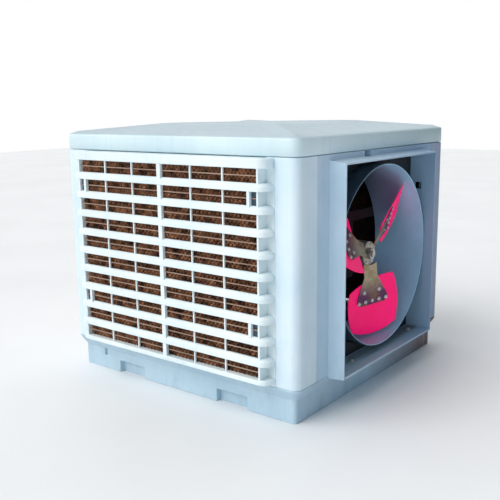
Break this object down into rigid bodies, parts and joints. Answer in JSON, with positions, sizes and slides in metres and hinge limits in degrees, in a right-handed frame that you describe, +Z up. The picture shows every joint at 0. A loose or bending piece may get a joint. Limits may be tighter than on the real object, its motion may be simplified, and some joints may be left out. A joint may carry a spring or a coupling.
{
  "type": "industrial evaporative air cooler",
  "caption": "Square side-discharge evaporative air cooler: louvred sides with wet pads, basin, hipped lid and a ducted axial fan that turns.",
  "frame": {"origin": "on the ground at the middle of the body's plan", "axes": "+Z up, +X towards the fan's discharge, -Y towards the louvred front"},
  "size_m": [1.207, 1.2, 0.983],
  "materials": {
    "cabinet": "moulded, pale blue white",
    "basin": "moulded, pale blue grey",
    "lid": "moulded, pale blue white",
    "pad": "corrugated cellulose, brown",
    "duct": "smooth, blue grey",
    "steel": "galvanised",
    "bright_steel": "turned",
    "motor": "dark enamel",
    "blade": "bright pink moulding",
    "pipe": "grey pipe",
    "pump": "dark blue moulding"
  },
  "bodies": {
    "housing": {"base_basin": "basin", "base_skirt": "basin", "base_feet": "basin", "corner_post_front_right": "cabinet", "corner_post_front_left": "cabinet", "corner_post_back_left": "cabinet", "corner_post_back_right": "cabinet", "top_cover": "lid", "front_louvre": "cabinet", "left_louvre": "cabinet", "back_louvre": "cabinet", "front_pad": "pad", "left_pad": "pad", "back_pad": "pad", "fan_panel": "cabinet", "orifice_plate": "duct", "fan_ring": "duct", "motor_bracket": "steel", "fan_motor": "motor", "water_header": "pipe", "water_pump": "pump", "riser_pipe": "pipe"},
    "fan_rotor": {"fan_shaft": "bright_steel", "fan_hub": "steel", "hub_nut": "bright_steel", "fan_arm_1": "steel", "fan_arm_2": "steel", "fan_arm_3": "steel", "fan_blade_1": "blade", "fan_blade_2": "blade", "fan_blade_3": "blade"}
  },
  "joints": [
    {"name": "fan_spin", "type": "hinge", "parent": "housing", "child": "fan_rotor", "pos_m": [0.45, 0, 0.493], "axis": [1, 0, 0], "continuous": true}
  ]
}
